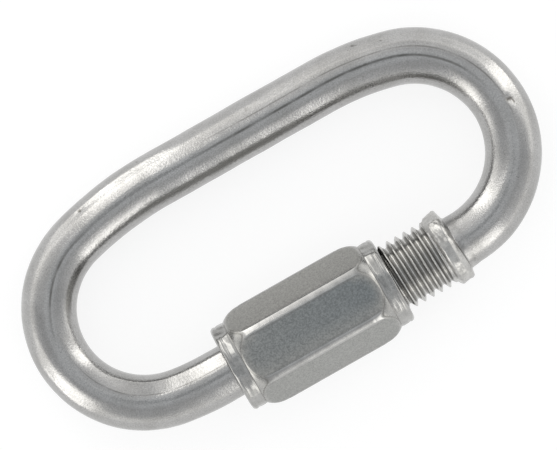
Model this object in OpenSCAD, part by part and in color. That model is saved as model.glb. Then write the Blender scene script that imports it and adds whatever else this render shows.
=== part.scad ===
// Chain quick link: an oval of round steel rod with a gate in one long side,
// closed by a hexagon sleeve nut that screws across the gap in the rod.
// The link lies as it does on a table: one flat of the nut and the spine of the
// loop touch the surface, so the loop leans a few degrees about the nut's axis.
// Lengths are millimetres. X runs along the link and Z points up.

/* [Loop] */
// Diameter of the round rod
rod_d = 5; // [4.6:0.1:5.4]
// Length of the link over both bows
link_l = 50; // [49:0.5:60]
// Distance between the axis of the spine and the axis of the gate
axis_gap = 18.15; // [17.5:0.05:20]

/* [Left bow] */
// Radius of the shoulder between the spine and the left bow
left_shoulder_r = 32.5; // [28:0.5:38]
// Angle through which that shoulder turns
left_shoulder_deg = 16; // [13:0.5:18]
// Radius of the easy bend that the parked nut runs onto
park_bend_r = 26; // [22:0.5:32]
// Angle through which that bend turns
park_bend_deg = 9; // [7:0.5:11]

/* [Right bow] */
// Radius of the shoulder between the spine and the right bow
right_shoulder_r = 26; // [22:0.5:32]
// Angle through which that shoulder turns
right_shoulder_deg = 15; // [12:0.5:18]

/* [Threaded ends] */
// Outer diameter of the thread
thread_d = 6.4; // [6.2:0.05:6.7]
// Distance from one crest of the thread to the next
thread_pitch = 0.85; // [0.7:0.05:1]
// Height of the thread's crests over its roots
thread_depth = 0.5; // [0.3:0.02:0.56]
// Width of the flat on each crest and in each root of the thread
thread_flat = 0.1; // [0.06:0.02:0.2]
// Distance from each tip to the middle of the first root
first_root = 0.3; // [0.2:0.05:0.4]
// Length of the fixed threaded end, from its tip to the collar
fixed_end_l = 4.95; // [4.7:0.05:5.4]
// Length of the threaded end that carries the nut
nut_end_l = 6.8; // [5.5:0.1:8]
// Opening between the two threaded ends
gate_gap = 5.45; // [5.3:0.05:6]
// Chamfer on the tip of each threaded end
tip_chamfer = 0.45; // [0.2:0.05:0.6]
// Length of the taper from the rod up to the nut's thread
thread_taper = 0.7; // [0.4:0.1:1.2]

/* [Collar] */
// Diameter of the collar behind the fixed threaded end
collar_d = 7.12; // [6.9:0.02:7.6]
// Width of the collar, with its ramp
collar_w = 1.75; // [1.3:0.05:2.4]
// Width of the ramp on the thread's side of the collar
collar_ramp = 0.5; // [0.3:0.05:0.7]
// Chamfer on the bow's side of the collar
collar_chamfer = 0.2; // [0.1:0.05:0.4]
// Straight stretch of rod between the collar and the right bow
collar_stem = 0.75; // [0.3:0.05:1.5]

/* [Nut] */
// Length of the nut
nut_l = 16.5; // [15.5:0.1:17]
// Width of the nut across its flats
nut_af = 8.4; // [8.3:0.05:8.8]
// Diameter over the softened corners of the hexagon
nut_corner_d = 9.48; // [9.3:0.02:9.6]
// Diameter of the turned collar at each end of the nut
nut_collar_d = 8.24; // [7.9:0.02:8.3]
// Length of each turned collar
nut_collar_l = 1.25; // [0.9:0.05:1.6]
// Rounding of the outer edge of each turned collar
nut_edge_r = 0.4; // [0.2:0.05:0.45]
// Radius of the turned dome at each end of the hexagon
nut_dome_r = 3.4; // [2.6:0.1:4.5]
// Countersink at each mouth of the bore
mouth_chamfer = 0.2; // [0.1:0.05:0.3]
// Running clearance between the thread and the bore, on the radius
bore_clearance = 0.05; // [0.03:0.01:0.1]
// Thread that shows between the nut and the collar
thread_shown = 4.69; // [3:0.05:4.8]

/* [Hidden] */
$fa = 3;
$fs = 0.1;

steel = [0.66, 0.65, 0.63];
nut_steel = [0.60, 0.60, 0.59];

rod_r = rod_d / 2;
thread_r = thread_d / 2;
root_r = thread_r - thread_depth;
groove_half = (thread_pitch - thread_flat) / 2;
collar_r = collar_d / 2;

// A bow is a tip arc between a shoulder and, on the left, the parking bend.
// Each tip radius closes the width between the spine and the gate.
function sag(r, deg) = r * (1 - cos(deg));
left_tip_r =
    (axis_gap - sag(left_shoulder_r, left_shoulder_deg) - sag(park_bend_r, park_bend_deg))
    / (cos(left_shoulder_deg) + cos(park_bend_deg));
right_tip_r =
    (axis_gap - sag(right_shoulder_r, right_shoulder_deg)) / (1 + cos(right_shoulder_deg));

// Centres of the bends in the plane of the loop, with y = 0 on the gate's axis.
left_tip_x = left_tip_r + rod_r - link_l / 2;
left_tip_y = sag(park_bend_r, park_bend_deg) + left_tip_r * cos(park_bend_deg);
right_tip_x = link_l / 2 - rod_r - right_tip_r;
spine_x0 = left_tip_x + (left_shoulder_r - left_tip_r) * sin(left_shoulder_deg);
spine_x1 = right_tip_x - (right_shoulder_r - right_tip_r) * sin(right_shoulder_deg);
park_x = left_tip_x + (park_bend_r - left_tip_r) * sin(park_bend_deg);

// Places along the gate, worked back from the right bow.
collar_x1 = right_tip_x - collar_stem;
collar_x0 = collar_x1 - collar_w;
fixed_tip_x = collar_x0 - fixed_end_l;
nut_tip_x = fixed_tip_x - gate_gap;
nut_thread_x = nut_tip_x - nut_end_l;
nut_x1 = collar_x0 - thread_shown;
nut_x0 = nut_x1 - nut_l;

// The turned barrel of the nut falls from the hexagon's corners to its collars.
nut_corner_r = nut_corner_d / 2;
nut_collar_r = nut_collar_d / 2;
bore_r = thread_r + bore_clearance;
dome_axis_r = nut_corner_r - nut_dome_r;
dome_l = sqrt(pow(nut_dome_r, 2) - pow(nut_collar_r - dome_axis_r, 2));

// The nut lies on a flat and the spine on the surface. The origin is under the
// middle of the link.
lean = asin((nut_af / 2 - rod_r) / axis_gap);
gate_y = (nut_corner_r - rod_r - axis_gap * cos(lean)) / 2;
gate_z = nut_af / 2;

// Puts a solid drawn along +Z onto the X axis.
module along_x() {
    rotate([0, 90, 0]) children();
}

// Moves a stretch of rod by a rounded step and then by the small rest, so that
// neighbouring stretches meet face to face with nothing between them.
module at(x, y = 0) {
    rounded = [round(x * 1000) / 1000, round(y * 1000) / 1000, 0];
    translate(rounded) translate([x, y, 0] - rounded) children();
}

// Bent rod about a centre in the plane of the loop.
module bend(x, y, r, from_deg, turn_deg) {
    at(x, y)
        rotate_extrude(angle = turn_deg, start = from_deg)
            at(r) circle(r = rod_r);
}

// Section of one groove of the thread, with its root in the middle.
module groove_section() {
    polygon([
        [root_r, -thread_flat / 2],
        [root_r, thread_flat / 2],
        [thread_r, groove_half],
        [thread_r + tip_chamfer, groove_half],
        [thread_r + tip_chamfer, -groove_half],
        [thread_r, -groove_half]
    ]);
}

// Grooves along a threaded end of length l, counted from its tip at 0 towards +Y.
// Each one is a closed ring at the thread's pitch.
module grooves(l) {
    last = floor((l - first_root - groove_half) / thread_pitch);
    for (i = [0 : last]) translate([0, first_root + i * thread_pitch]) groove_section();
}

// Left leg of the gate: rod, taper, and the threaded end that carries the nut.
module nut_leg() {
    thread_x0 = nut_thread_x - park_x;
    tip_x = nut_tip_x - park_x;
    at(park_x)
        along_x()
            rotate_extrude()
                difference() {
                    polygon([
                        [0, 0],
                        [rod_r, 0],
                        [rod_r, thread_x0 - thread_taper],
                        [thread_r, thread_x0],
                        [thread_r, tip_x - tip_chamfer],
                        [thread_r - tip_chamfer, tip_x],
                        [0, tip_x]
                    ]);
                    translate([0, tip_x]) mirror([0, 1]) grooves(nut_end_l);
                }
}

// Right leg of the gate: fixed threaded end, collar, and a short stem of rod.
module collar_leg() {
    collar_end = -collar_stem - collar_w;
    tip_x = collar_end - fixed_end_l;
    at(right_tip_x)
        along_x()
            rotate_extrude()
                difference() {
                    polygon([
                        [0, tip_x],
                        [thread_r - tip_chamfer, tip_x],
                        [thread_r, tip_x + tip_chamfer],
                        [thread_r, collar_end],
                        [collar_r, collar_end + collar_ramp],
                        [collar_r, -collar_stem - collar_chamfer],
                        [collar_r - collar_chamfer, -collar_stem],
                        [rod_r, -collar_stem],
                        [rod_r, 0],
                        [0, 0]
                    ]);
                    translate([0, tip_x]) grooves(fixed_end_l);
                }
}

// The spine is drawn from both of its ends, and the two halves overlap.
module spine() {
    half_l = (spine_x1 - spine_x0) / 2 + rod_r;
    at(spine_x0, axis_gap) along_x() cylinder(r = rod_r, h = half_l);
    at(spine_x1, axis_gap) mirror([1, 0, 0]) along_x() cylinder(r = rod_r, h = half_l);
}

module left_bow() {
    bend(spine_x0, axis_gap - left_shoulder_r, left_shoulder_r, 90, left_shoulder_deg);
    bend(
        left_tip_x,
        left_tip_y,
        left_tip_r,
        90 + left_shoulder_deg,
        180 - left_shoulder_deg - park_bend_deg
    );
    bend(park_x, park_bend_r, park_bend_r, 270 - park_bend_deg, park_bend_deg);
}

module right_bow() {
    bend(
        spine_x1,
        axis_gap - right_shoulder_r,
        right_shoulder_r,
        90 - right_shoulder_deg,
        right_shoulder_deg
    );
    bend(right_tip_x, right_tip_r, right_tip_r, -90, 180 - right_shoulder_deg);
}

module link_body() {
    color(steel)
        translate([0, gate_y, gate_z])
            rotate([-lean, 0, 0])
                union() {
                    spine();
                    left_bow();
                    right_bow();
                    nut_leg();
                    collar_leg();
                }
}

// Bar of hexagon steel with a flat on top and underneath, a little longer than the nut.
module nut_bar() {
    translate([0, 0, -nut_collar_l])
        rotate([0, 0, 30])
            cylinder(r = nut_af / 2 / cos(30), h = nut_l + 2 * nut_collar_l, $fn = 6);
}

// One end of the barrel, domed from the corner line down to the collar.
module dome_section() {
    intersection() {
        translate([dome_axis_r, nut_collar_l + dome_l]) circle(r = nut_dome_r);
        translate([0, nut_collar_l]) square([nut_corner_d, dome_l]);
    }
}

// Round collar with a rounded outer edge.
module collar_section() {
    square([nut_collar_r - nut_edge_r, nut_collar_l]);
    translate([0, nut_edge_r]) square([nut_collar_r, nut_collar_l - nut_edge_r]);
    translate([nut_collar_r - nut_edge_r, nut_edge_r]) circle(r = nut_edge_r);
}

// Repeats an end of the nut on its other end.
module both_ends() {
    children();
    translate([0, nut_l]) mirror([0, 1]) children();
}

// Shape that the lathe leaves: collars, domes and the barrel over one common core.
module nut_turned() {
    rotate_extrude() {
        both_ends() collar_section();
        both_ends() dome_section();
        translate([0, nut_collar_l + dome_l])
            square([nut_corner_r, nut_l - 2 * (nut_collar_l + dome_l)]);
        square([nut_collar_r - nut_edge_r, nut_l]);
    }
}

module nut_bore() {
    rotate_extrude()
        polygon([
            [0, -mouth_chamfer],
            [bore_r + 2 * mouth_chamfer, -mouth_chamfer],
            [bore_r, mouth_chamfer],
            [bore_r, nut_l - mouth_chamfer],
            [bore_r + 2 * mouth_chamfer, nut_l + mouth_chamfer],
            [0, nut_l + mouth_chamfer]
        ]);
}

module sleeve_nut() {
    color(nut_steel)
        translate([nut_x0, gate_y, gate_z])
            along_x()
                difference() {
                    intersection() {
                        nut_bar();
                        nut_turned();
                    }
                    nut_bore();
                }
}

link_body();
sleeve_nut();
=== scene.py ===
"""Chain quick link: a bent steel rod with a threaded gate, and the hexagon nut that closes it.

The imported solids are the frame. The rod and the nut are drawn here again with what the solids
leave out: the rolled thread, the pressed collar, softened edges, dents and the steel itself.
"""

import math

import bpy
import numpy as np
from bpy.props import FloatProperty, FloatVectorProperty, PointerProperty
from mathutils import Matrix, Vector


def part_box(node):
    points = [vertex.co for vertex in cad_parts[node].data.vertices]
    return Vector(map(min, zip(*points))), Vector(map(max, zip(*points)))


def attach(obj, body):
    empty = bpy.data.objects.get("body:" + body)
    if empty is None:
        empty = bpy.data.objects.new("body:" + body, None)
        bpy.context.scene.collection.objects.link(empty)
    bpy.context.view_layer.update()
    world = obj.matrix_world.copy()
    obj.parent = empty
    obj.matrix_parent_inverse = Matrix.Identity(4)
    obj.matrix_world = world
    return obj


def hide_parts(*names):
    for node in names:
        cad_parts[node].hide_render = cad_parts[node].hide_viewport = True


bl_info = {
    "name": "Chain quick link",
    "version": (1, 0, 0),
    "blender": (4, 5, 0),
    "location": "View3D > Sidebar > Quick Link",
    "description": "Bends the rod of a chain quick link and turns its sleeve nut",
    "category": "Add Mesh",
}

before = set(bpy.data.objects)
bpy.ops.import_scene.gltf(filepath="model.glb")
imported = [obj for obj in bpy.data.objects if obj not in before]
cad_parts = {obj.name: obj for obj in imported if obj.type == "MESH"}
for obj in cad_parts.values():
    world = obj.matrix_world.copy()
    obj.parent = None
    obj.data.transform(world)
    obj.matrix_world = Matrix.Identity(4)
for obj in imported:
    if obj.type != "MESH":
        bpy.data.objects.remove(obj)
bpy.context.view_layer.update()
LINK_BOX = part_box("link_body")
NUT_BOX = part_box("sleeve_nut")

MM = 0.001

# The gate's axis is the nut's own. The nut's widths are in millimetres.
GATE_Y = (NUT_BOX[0].y + NUT_BOX[1].y) / 2
GATE_Z = (NUT_BOX[0].z + NUT_BOX[1].z) / 2
NUT_ACROSS_FLATS = (NUT_BOX[1].z - NUT_BOX[0].z) / MM
NUT_OVER_CORNERS = (NUT_BOX[1].y - NUT_BOX[0].y) / MM

# Points round the rod, and on each flat of the nut.
ROD_POINTS = 144
NUT_POINTS_A_FLAT = 40


def length(name, text, millimetres):
    """A size in metres that is easier to read in millimetres."""
    return FloatProperty(
        name=name, description=text, default=millimetres * MM, min=0.0, unit="LENGTH", precision=5
    )


def angle(name, text, degrees):
    """An angle in radians that is easier to read in degrees."""
    value = math.radians(degrees)
    return FloatProperty(name=name, description=text, default=value, subtype="ANGLE")


def share(name, text, value):
    """A value from 0 to 1."""
    return FloatProperty(
        name=name, description=text, default=value, min=0.0, max=1.0, subtype="FACTOR"
    )


def colour(name, text, value):
    """A colour as the shares of red, green and blue light."""
    return FloatVectorProperty(
        name=name, description=text, default=value, min=0.0, soft_max=1.0, size=3, subtype="COLOR"
    )


class QuickLinkRodSizes(bpy.types.PropertyGroup):
    """Sizes of the bent rod, its threaded ends and its collar"""

    rod_diameter: length("Rod diameter", "Diameter of the round rod", 5.0)
    axis_gap: length("Axis gap", "Distance from the spine's axis to the gate's axis", 18.15)
    left_shoulder_radius: length("Left shoulder radius", "Bend from spine to left bow", 32.5)
    left_shoulder_angle: angle("Left shoulder angle", "Turn of the left shoulder", 16.0)
    park_bend_radius: length("Parking bend radius", "Easy bend that the parked nut runs onto", 26.0)
    park_bend_angle: angle("Parking bend angle", "Turn of the parking bend", 9.0)
    right_shoulder_radius: length("Right shoulder radius", "Bend from spine to right bow", 26.0)
    right_shoulder_angle: angle("Right shoulder angle", "Turn of the right shoulder", 15.0)
    thread_diameter: length("Thread diameter", "Diameter over the thread's crests", 6.4)
    thread_pitch: length("Thread pitch", "Distance from one crest to the next", 0.85)
    thread_depth: length("Thread depth", "Height of the thread's crests over its roots", 0.52)
    thread_start: length("Thread start", "Place of a crest along the gate, on the spine's side", 7.64)
    fixed_end: length("Fixed end", "Threaded length from the fixed tip to the collar", 4.95)
    nut_end: length("Nut end", "Threaded length that carries the nut", 6.8)
    gate_gap: length("Gate opening", "Opening between the two threaded ends", 5.45)
    tip_chamfer: length("Tip chamfer", "Chamfer on each threaded tip", 0.45)
    thread_taper: length("Thread taper", "Taper from the rod up to the nut's thread", 0.7)
    collar_width: length("Collar width", "Width of the pressed collar with its ramp", 1.75)
    collar_ramp: length("Collar ramp", "Width of the ramp on the thread's side", 0.5)
    collar_stem: length("Collar stem", "Straight rod between the collar and the bow", 0.75)
    collar_tilt: length("Collar tilt", "How far the collar leans along the gate", 0.22)
    die_flats: length("Die flats", "How far the dies flattened the rod between top and side", 0.1)
    waviness: length("Waviness", "Height of the waves that bending leaves on the rod", 0.022)
    ripple: length("Ripple", "Height of the ripples that drawing leaves along the rod", 0.006)


class QuickLinkNutSizes(bpy.types.PropertyGroup):
    """Sizes of the sleeve nut"""

    flats: length("Across flats", "Width of the nut across its flats", NUT_ACROSS_FLATS)
    corners: length("Over corners", "Width of the nut over its softened corners", NUT_OVER_CORNERS)
    corner_wear: length("Corner wear", "Wear of the corners beside the top and bottom flats", 0.065)
    collar_diameter: length("Collar diameter", "Diameter of the turned collar at each end", 8.24)
    collar_length: length("Collar length", "Length of each turned collar", 1.36)
    collar_flats: length("Collar flats", "How far the flats reach into the collars", 0.19)
    edge_radius: length("Edge radius", "Rounding of each collar's outer edge", 0.4)
    dome_radius: length("Dome radius", "Radius of the turned dome at each end of the hexagon", 3.0)
    neck_depth: length("Neck depth", "Depth of the neck between a dome and its collar", 0.045)
    groove_depth: length("Groove depth", "Depth of the tool line round each collar", 0.05)
    bore_diameter: length("Bore diameter", "Diameter of the bore at the crests of its thread", 6.5)
    bore_thread_depth: length("Bore thread depth", "Depth of the thread in the bore", 0.35)
    mouth_chamfer: length("Mouth chamfer", "Countersink at each mouth of the bore", 0.2)


class QuickLinkFinish(bpy.types.PropertyGroup):
    """Colours and roughness of the steel"""

    rod_light: colour("Rod, light", "Steel of the rod where it is clean", (0.434, 0.431, 0.426))
    rod_dark: colour("Rod, dark", "Steel of the rod where it is stained", (0.372, 0.368, 0.36))
    rod_roughness: share("Rod roughness", "Mean roughness of the rod", 0.15)
    nut_light: colour("Nut, light", "Steel of the nut where it is worn bright", (0.43, 0.428, 0.42))
    nut_dark: colour("Nut, dark", "Steel of the nut in its matt grain", (0.437, 0.432, 0.411))
    nut_pits: colour("Nut, pits", "Steel of the nut in the pits of its grain", (0.273, 0.271, 0.259))
    # Painted shade: a blue-grey share of light kept on the nut's top flat and on the upper facet of
    # its open side.
    nut_painted_shade: colour("Nut, dull", "Share of light that the dullest flat keeps", (0.645, 0.705, 0.757))
    nut_roughness: share("Nut roughness", "Mean roughness of the nut's matt grain", 0.34)
    pressed: colour("Thread and collar", "Steel of the thread and the collar", (0.5, 0.495, 0.48))
    # Also used for painted shade: on the thread's flanks, and in the nut's neck, creases and corner
    # borders; it darkens the scars, marks and bore grooves too.
    grime_and_painted_shade: colour("Grime", "Oily dirt in the thread's roots", (0.09, 0.085, 0.075))


class QuickLinkStage(bpy.types.PropertyGroup):
    """Floor, light and view"""

    floor_colour: colour("Floor", "Pale floor under the link", (0.9, 0.9, 0.9))
    lens: colour("Lens", "Light from straight above, where the lens is", (0.396, 0.411, 0.424))
    crown: colour("Crown", "Light of the tent round the lens", (0.722, 0.742, 0.762))
    middle: colour("Middle", "Light from half way up", (0.541, 0.551, 0.565))
    skirt: colour("Skirt", "Light from above the horizon", (0.84, 0.84, 0.832))
    horizon: colour("Horizon", "Light from near the floor", (1.16, 1.155, 1.14))
    lamps: colour("Lamps", "Tint of the soft boxes", (1.0, 0.98, 0.94))
    picture_span: length("Picture span", "Width of the view at the link", 49.54)
    picture_turn: angle("Picture turn", "Turn of the view about the vertical", -29.53)
    camera_height: length("Camera height", "Height of the camera over the link's middle", 500.0)


class QuickLinkSettings(bpy.types.PropertyGroup):
    """Everything that a user would change"""

    rod: PointerProperty(type=QuickLinkRodSizes)
    nut: PointerProperty(type=QuickLinkNutSizes)
    finish: PointerProperty(type=QuickLinkFinish)
    stage: PointerProperty(type=QuickLinkStage)


# Shape helpers

GOLDEN_ANGLE = 2.399963


def smooth_step(low, high, value):
    t = np.clip((value - low) / (high - low), 0.0, 1.0)
    return t * t * (3.0 - 2.0 * t)


def waves(points, wavelength, turns=9):
    """Smooth unevenness in -1..1 at each point, as a sum of slanted sine waves."""
    total = np.zeros(points.shape[:-1])
    for k in range(turns):
        lift = 1.0 - 2.0 * (k + 0.5) / turns
        flat = math.sqrt(1.0 - lift * lift)
        about = GOLDEN_ANGLE * k + 0.7
        way = np.array([flat * math.cos(about), flat * math.sin(about), lift])
        stretch = 1.0 + 0.45 * math.sin(1.7 * k)
        total += np.sin(points @ way * (2.0 * math.pi * stretch / wavelength) + 1.9 * k * k)
    return total / math.sqrt(turns)


def helix(x, turn, start, pitch):
    """0 on a crest of a right-hand thread along +X and 1 half a pitch from it."""
    place = (x - start) / pitch - turn / (2.0 * math.pi)
    return 2.0 * np.abs(place - np.round(place))


def tooth(from_crest, crest_flat=0.14, root_flat=0.2):
    """Height of a rolled thread's tooth, 1 on its crest and 0 in its root."""
    rise = np.clip((1.0 - root_flat - from_crest) / (1.0 - root_flat - crest_flat), 0.0, 1.0)
    rolled = 0.5 + 0.5 * np.cos(math.pi * from_crest)
    return 0.5 * rise + 0.5 * rolled


def soft_least(a, b, sharpness):
    """The smaller of two radii, rounded off where they meet."""
    least = np.minimum(a, b)
    return least * ((a / least) ** -sharpness + (b / least) ** -sharpness) ** (-1.0 / sharpness)


# Size of the inner ring on the flat face of a threaded tip, as a share of the face.
CAP_RING = 0.82


def skin(name, rings, closed, along, around, attributes):
    """Mesh object over rings of points, capped at both ends or closed on itself."""
    count, points = rings.shape[:2]
    vertices = rings.reshape(-1, 3)
    rows = np.arange(count if closed else count - 1)
    here, over = rows * points, ((rows + 1) % count) * points
    side = np.arange(points)
    after = (side + 1) % points
    quads = np.stack(
        [
            here[:, None] + side,
            here[:, None] + after,
            over[:, None] + after,
            over[:, None] + side,
        ],
        axis=-1,
    ).reshape(-1, 4)
    faces = quads.tolist()
    spread = np.append(around, 1.0)
    reach = np.append(along, along[-1] + (along[-1] - along[-2])) if closed else along
    corners = np.stack(
        [
            np.stack(np.broadcast_arrays(reach[rows][:, None], spread[side]), -1),
            np.stack(np.broadcast_arrays(reach[rows][:, None], spread[side + 1]), -1),
            np.stack(np.broadcast_arrays(reach[rows + 1][:, None], spread[side + 1]), -1),
            np.stack(np.broadcast_arrays(reach[rows + 1][:, None], spread[side]), -1),
        ],
        axis=2,
    ).reshape(-1, 2)
    values = {key: value.reshape(-1) for key, value in attributes.items()}
    if not closed:
        caps, cap_uv, extra = [], [], []
        for first, turned in ((0, True), ((count - 1) * points, False)):
            ring = vertices[first : first + points]
            middle = ring.mean(axis=0)
            inner = len(vertices) + len(extra)
            extra.extend(middle + (ring - middle) * CAP_RING)
            hub = len(vertices) + len(extra)
            extra.append(middle)
            for j in range(points):
                k = (j + 1) % points
                band = [first + j, first + k, inner + k, inner + j]
                wedge = [inner + j, inner + k, hub]
                for face in (band, wedge):
                    caps.append(face[::-1] if turned else face)
                    cap_uv.extend([(0.0, spread[j])] * len(face))
        for key, value in values.items():
            ends = [np.append(np.repeat(value[0], points), value[0])]
            ends.append(np.append(np.repeat(value[-1], points), value[-1]))
            values[key] = np.concatenate([value, *ends])
        vertices = np.concatenate([vertices, np.array(extra)])
        faces += caps
        corners = np.concatenate([corners, np.array(cap_uv)])
    mesh = bpy.data.meshes.new(name)
    mesh.from_pydata(vertices.tolist(), [], faces)
    layer = mesh.uv_layers.new(name="along_and_around")
    layer.data.foreach_set("uv", corners.astype(np.float32).ravel())
    for key, value in values.items():
        made = mesh.attributes.new(key, "FLOAT", "POINT")
        made.data.foreach_set("value", value.astype(np.float32))
    mesh.polygons.foreach_set("use_smooth", [True] * len(mesh.polygons))
    mesh.update()
    mesh.validate()
    piece = bpy.data.objects.new(name, mesh)
    bpy.context.scene.collection.objects.link(piece)
    return piece


# The bent rod


def bow_numbers(rod, link_length):
    """Bend centres and places along the gate, in the loop's plane with y = 0 on the gate's axis."""

    def sag(radius, turn):
        return radius * (1.0 - math.cos(turn))

    half = rod.rod_diameter / 2.0
    left_cos, park_cos = math.cos(rod.left_shoulder_angle), math.cos(rod.park_bend_angle)
    park_sag = sag(rod.park_bend_radius, rod.park_bend_angle)
    left_sag = sag(rod.left_shoulder_radius, rod.left_shoulder_angle)
    right_sag = sag(rod.right_shoulder_radius, rod.right_shoulder_angle)
    found = {}
    found["left_r"] = (rod.axis_gap - left_sag - park_sag) / (left_cos + park_cos)
    found["right_r"] = (rod.axis_gap - right_sag) / (1.0 + math.cos(rod.right_shoulder_angle))
    found["left_x"] = found["left_r"] + half - link_length / 2.0
    found["left_y"] = park_sag + found["left_r"] * park_cos
    found["right_x"] = link_length / 2.0 - half - found["right_r"]
    left_over = rod.left_shoulder_radius - found["left_r"]
    park_over = rod.park_bend_radius - found["left_r"]
    right_over = rod.right_shoulder_radius - found["right_r"]
    found["spine_x0"] = found["left_x"] + left_over * math.sin(rod.left_shoulder_angle)
    found["spine_x1"] = found["right_x"] - right_over * math.sin(rod.right_shoulder_angle)
    found["park_x"] = found["left_x"] + park_over * math.sin(rod.park_bend_angle)
    found["collar_x1"] = found["right_x"] - rod.collar_stem
    found["collar_x0"] = found["collar_x1"] - rod.collar_width
    found["fixed_tip"] = found["collar_x0"] - rod.fixed_end
    found["nut_tip"] = found["fixed_tip"] - rod.gate_gap
    found["nut_thread"] = found["nut_tip"] - rod.nut_end
    return found


def run_of(start, end, step):
    """Evenly spaced places from start up to, but not with, end."""
    count = max(2, int(round(abs(end - start) / step)))
    return np.linspace(start, end, count, endpoint=False)


# Distances between the rings of points along the rod.
ROD_STEP = 0.4 * MM
BOW_STEP = 0.35 * MM
FINE_STEP = 0.1 * MM
COLLAR_STEP = 0.04 * MM
# Rings to one pitch of the thread, under the nut and in the open.
HIDDEN_THREAD_RINGS = 10.0
OPEN_THREAD_RINGS = 24.0
# Rod behind the collar that is drawn as finely as the collar itself.
BEHIND_COLLAR = 0.1 * MM


def rod_line(rod, at):
    """Points and directions along the rod's axis, from the nut's threaded tip to the fixed one.

    Also gives the number of the stretch that each point belongs to.
    """
    points, ways = [], []

    def straight(xs, y, way):
        points.append(np.stack([xs, np.full_like(xs, y)], -1))
        ways.append(np.tile([way, 0.0], (len(xs), 1)))

    def arc(x, y, radius, start, end, step):
        turn = run_of(start, end, step / radius)
        points.append(np.stack([x + radius * np.cos(turn), y + radius * np.sin(turn)], -1))
        ways.append(np.stack([np.sin(turn), -np.cos(turn)], -1))

    gap, quarter = rod.axis_gap, math.pi / 2.0
    park, left, right = rod.park_bend_radius, rod.left_shoulder_radius, rod.right_shoulder_radius
    park_end = 3.0 * quarter - rod.park_bend_angle
    left_end = quarter + rod.left_shoulder_angle
    right_end = quarter - rod.right_shoulder_angle
    taper_end = at["nut_thread"] - rod.thread_taper
    collar_back = at["collar_x1"] + rod.collar_tilt + BEHIND_COLLAR
    collar_front = at["collar_x0"] - rod.collar_tilt
    hidden_step = rod.thread_pitch / HIDDEN_THREAD_RINGS
    open_step = rod.thread_pitch / OPEN_THREAD_RINGS
    straight(run_of(at["nut_tip"], at["nut_thread"], hidden_step), 0.0, -1.0)
    straight(run_of(at["nut_thread"], taper_end, FINE_STEP), 0.0, -1.0)
    straight(run_of(taper_end, at["park_x"], ROD_STEP), 0.0, -1.0)
    arc(at["park_x"], park, park, 3.0 * quarter, park_end, ROD_STEP)
    arc(at["left_x"], at["left_y"], at["left_r"], park_end, left_end, BOW_STEP)
    arc(at["spine_x0"], gap - left, left, left_end, quarter, ROD_STEP)
    straight(run_of(at["spine_x0"], at["spine_x1"], ROD_STEP), gap, 1.0)
    arc(at["spine_x1"], gap - right, right, quarter, right_end, ROD_STEP)
    arc(at["right_x"], at["right_r"], at["right_r"], right_end, -quarter, BOW_STEP)
    straight(run_of(at["right_x"], collar_back, FINE_STEP), 0.0, -1.0)
    straight(run_of(collar_back, collar_front, COLLAR_STEP), 0.0, -1.0)
    thread = run_of(collar_front, at["fixed_tip"], open_step)
    straight(np.append(thread, at["fixed_tip"]), 0.0, -1.0)
    zones = np.concatenate([np.full(len(p), k) for k, p in enumerate(points)])
    return np.concatenate(points), np.concatenate(ways), zones


# Flats that the dies pressed on the round collar: direction in degrees, and height over the axis in
# millimetres. 0 points to the spine and 90 points up.
COLLAR_FLATS = ((24, 3.33), (75, 3.46), (140, 3.44), (200, 3.40), (262, 3.42), (318, 3.40))
COLLAR_ROUND = 3.53

# Flats where the dies held the rod: direction in degrees (0 points out of the loop, 90 points up),
# height over the axis, and where each begins and ends along the rod from the nut's tip, in
# millimetres.
ROD_FLATS = (
    (50, 2.35, 55.0, 89.0),
    (52, 2.355, 33.0, 55.0),
    (48, 2.355, 18.0, 34.0),
    (123, 2.345, 4.0, 27.0),
)
# Length over which such a flat comes and goes, and how much higher it lies where it ends.
FLAT_EASE = 6.0
FLAT_LIFT = 0.2
# How sharp the borders of all these flats are.
DIE_SHARPNESS = 200.0


def pressed_flat(radius, turn, degrees, height):
    """Radius after a die pressed a flat at this height over the axis."""
    facing = np.maximum(np.cos(turn - math.radians(degrees)), 0.001)
    return soft_least(radius, height / facing, DIE_SHARPNESS)


def held_by_dies(section, turn, reach):
    """Radius along the rod, with the flats where the dies held it."""
    radius = np.tile(section, (len(reach), 1))
    for degrees, height, begins, ends in ROD_FLATS:
        held = smooth_step(begins * MM, (begins + FLAT_EASE) * MM, reach)
        held = held * (1.0 - smooth_step((ends - FLAT_EASE) * MM, ends * MM, reach))
        radius = pressed_flat(radius, turn, degrees, (height + FLAT_LIFT * (1.0 - held)) * MM)
    return radius


def collar_radius(turn):
    """Radius of the collar in each direction."""
    radius = np.full_like(turn, COLLAR_ROUND * MM)
    for degrees, height in COLLAR_FLATS:
        radius = pressed_flat(radius, turn, degrees, height * MM)
    return radius


# How the collar was pressed, in millimetres. Its back stands a little short of its end.
BACK_INSET = 0.1
# Its facets flare towards the bow on the spine's side, where the slanting back is nearer the thread.
COLLAR_FLARE, FLARE_LEAST, FLARE_MOST = 0.2, -0.1, 0.3
BACK_SLANT = 0.2
# Rounding of the back's edge, and how much it changes from one side of the gate to the other.
BACK_EDGE, BACK_EDGE_CHANGE = 0.21, 0.09
# Bevel of the back: where it is widest (towards the spine, up), its width, width added there, most
# depth along the gate, slope, and slope added there.
BEVEL_SPINEWARD, BEVEL_UP = -0.35, 0.92
BEVEL_WIDTH, BEVEL_WIDER, BEVEL_MOST = 0.12, 0.4, 0.6
BEVEL_SLOPE, BEVEL_STEEPER = 0.4, 0.45
# The ramp starts below the thread's crests, and leaves room for the mouth of the closed nut.
RAMP_FOOT = 0.2
RAMP_LEAD = 0.05
NUT_ROOM = 0.03
# Where the back falls to the rod, and how the rod flares behind it on the outer side.
FALL_BEGINS, FALL_ENDS = -0.05, 0.1
STEM_FLARE, STEM_FLARE_RUN, STEM_FLARE_POWER = 0.3, 0.55, 1.5


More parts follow.
